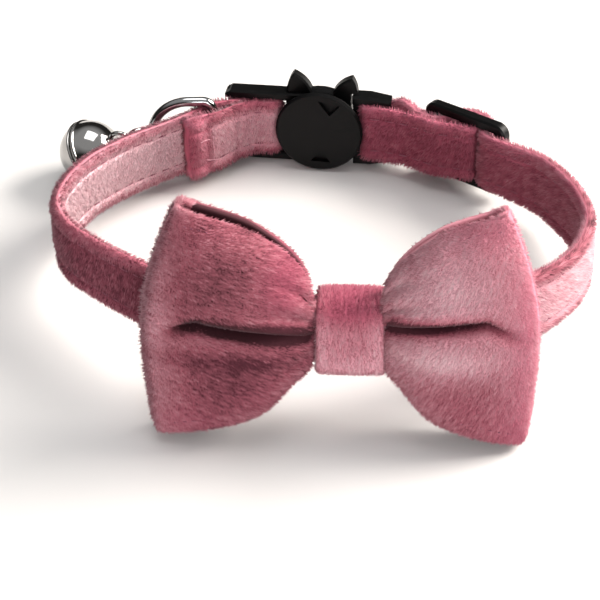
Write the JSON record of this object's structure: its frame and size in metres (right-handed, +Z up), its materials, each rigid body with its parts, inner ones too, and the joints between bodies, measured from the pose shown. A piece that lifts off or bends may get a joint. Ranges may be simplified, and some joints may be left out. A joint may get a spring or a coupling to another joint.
{
  "type": "pet bow tie collar",
  "caption": "Velvet collar for a cat or small dog, with a bow, a cat-head breakaway buckle, a slider, a D-ring and a jingle bell.",
  "frame": {"origin": "under the middle of the collar's bounding box, on the table that it stands on", "axes": "+X to the wearer's left as the bow is seen from in front, along the bow; +Y from the bow to the buckle; +Z up from the table"},
  "size_m": [0.0898, 0.0722, 0.0351],
  "materials": {
    "velvet": "plush velvet",
    "black_plastic": "moulded, satin to gloss",
    "chrome_wire": "polished plating",
    "bell_metal": "polished plating"
  },
  "bodies": {
    "root": {"strap": "velvet", "bow_loops": "velvet", "knot_band": "velvet", "buckle_head": "black_plastic", "buckle_tongue": "black_plastic", "slider": "black_plastic", "d_ring": "chrome_wire", "jump_ring": "chrome_wire", "bell_cap": "bell_metal", "bell_cup": "bell_metal", "bell_pellet": "bell_metal"}
  },
  "joints": []
}
